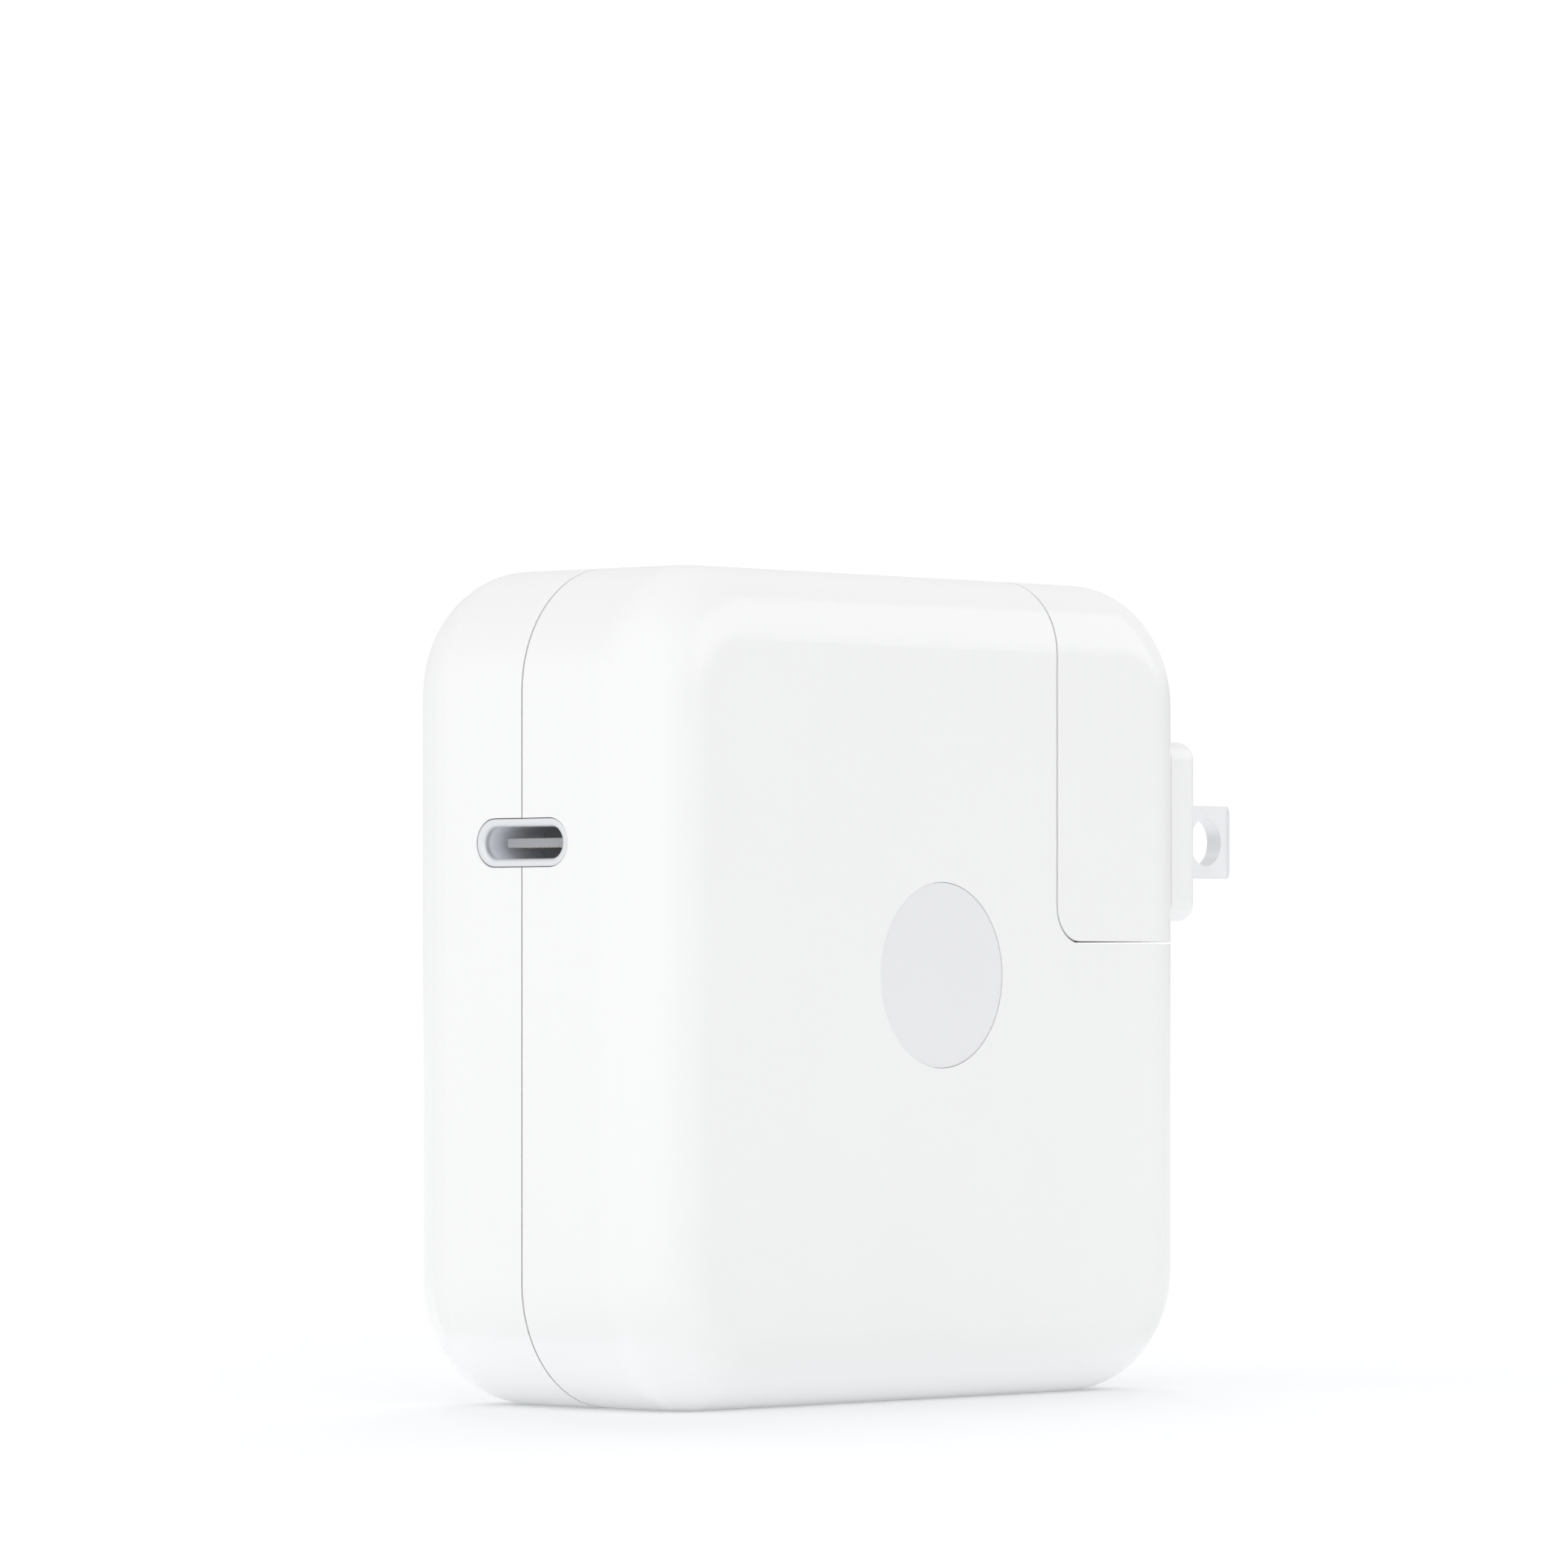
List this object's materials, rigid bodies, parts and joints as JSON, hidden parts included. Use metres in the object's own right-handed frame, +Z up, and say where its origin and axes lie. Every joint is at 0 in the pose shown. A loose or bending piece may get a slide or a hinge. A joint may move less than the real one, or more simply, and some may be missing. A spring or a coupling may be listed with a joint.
{
  "type": "laptop power adapter",
  "caption": "Rounded square white mains adapter with a USB-C charging socket in one narrow side and a lift-off plug module with folding flat prongs.",
  "frame": {"origin": "centre of the narrow face that the adapter stands on", "axes": "+X towards the mains prongs, +Y from the face with the round inlay to the back, +Z up"},
  "size_m": [0.0791, 0.0286, 0.066],
  "materials": {
    "white_shell": "satin-gloss moulded polycarbonate",
    "white_plastic": "moulded polycarbonate",
    "grey_inlay": "polished light grey inlay",
    "bright_steel": "nickel-plated steel sheet",
    "grey_plastic": "grey engineering plastic",
    "gold_contact": "gold-plated contacts",
    "board_green": "solder-masked glass-fibre laminate",
    "nickel": "nickel-plated brass",
    "fuse_brown": "moulded fuse body",
    "varistor_blue": "epoxy dip coating",
    "film_yellow": "film capacitor box",
    "ferrite": "sintered ferrite",
    "copper": "enamelled copper wire",
    "chip_black": "moulded epoxy",
    "can_sleeve": "shrink sleeve on an aluminium can",
    "bobbin_plastic": "phenolic bobbin",
    "tape_yellow": "polyester winding tape",
    "opto_white": "moulded epoxy",
    "can_aluminium": "bare aluminium can",
    "spreader": "rolled sheet",
    "film_amber": "polyimide film",
    "gap_pad": "soft thermal gap pad",
    "brass": "drawn brass tube",
    "bronze_spring": "phosphor bronze strip",
    "spring_steel": "spring steel strip"
  },
  "bodies": {
    "adapter": {"front_shell": "white_shell", "rear_shell": "white_shell", "emblem_inlay": "grey_inlay", "port_bezel": "bright_steel", "usb_shell": "bright_steel", "usb_core": "grey_plastic", "usb_contacts": "gold_contact", "usb_board": "board_green", "main_board": "board_green", "inlet_socket": "white_plastic", "inlet_pin_front": "nickel", "inlet_pin_rear": "nickel", "mounting_stud": "nickel", "stud_washer": "nickel", "fuse": "fuse_brown", "surge_varistor": "varistor_blue", "x_capacitor": "film_yellow", "choke_core": "ferrite", "choke_windings": "copper", "bridge_rectifier": "chip_black", "bulk_capacitor_large": "can_sleeve", "bulk_capacitor_small": "can_sleeve", "transformer_core_front": "ferrite", "transformer_core_rear": "ferrite", "transformer_bobbin": "bobbin_plastic", "transformer_winding": "tape_yellow", "power_transistor": "chip_black", "rectifier_transistor": "chip_black", "pwm_controller": "chip_black", "usb_controller": "chip_black", "optocoupler": "opto_white", "y_capacitor": "varistor_blue", "output_inductor": "ferrite", "output_capacitor_lower": "can_aluminium", "output_capacitor_upper": "can_aluminium", "front_heat_spreader": "spreader", "rear_heat_spreader": "spreader", "front_insulation_sheet": "film_amber", "rear_insulation_sheet": "film_amber", "transformer_thermal_pad": "gap_pad", "rear_thermal_pad": "gap_pad"},
    "plug_module": {"plug_housing": "white_shell", "plug_cover": "white_plastic", "socket_contact_front": "brass", "socket_contact_rear": "brass", "contact_spring_front": "bronze_spring", "contact_spring_rear": "bronze_spring", "stud_clip": "spring_steel", "carrier_retainer": "grey_plastic", "detent_spring": "spring_steel"},
    "prongs": {"prong_carrier": "white_plastic", "prong_front": "nickel", "prong_rear": "nickel"}
  },
  "joints": [
    {"name": "module_slide", "type": "slide", "parent": "adapter", "child": "plug_module", "axis": [0, 0, 1], "range_m": [0, 0.032]},
    {"name": "prong_fold", "type": "hinge", "parent": "plug_module", "child": "prongs", "pos_m": [0.0305, 0, 0.0441], "axis": [0, -1, 0], "range_deg": [0, 90]}
  ]
}
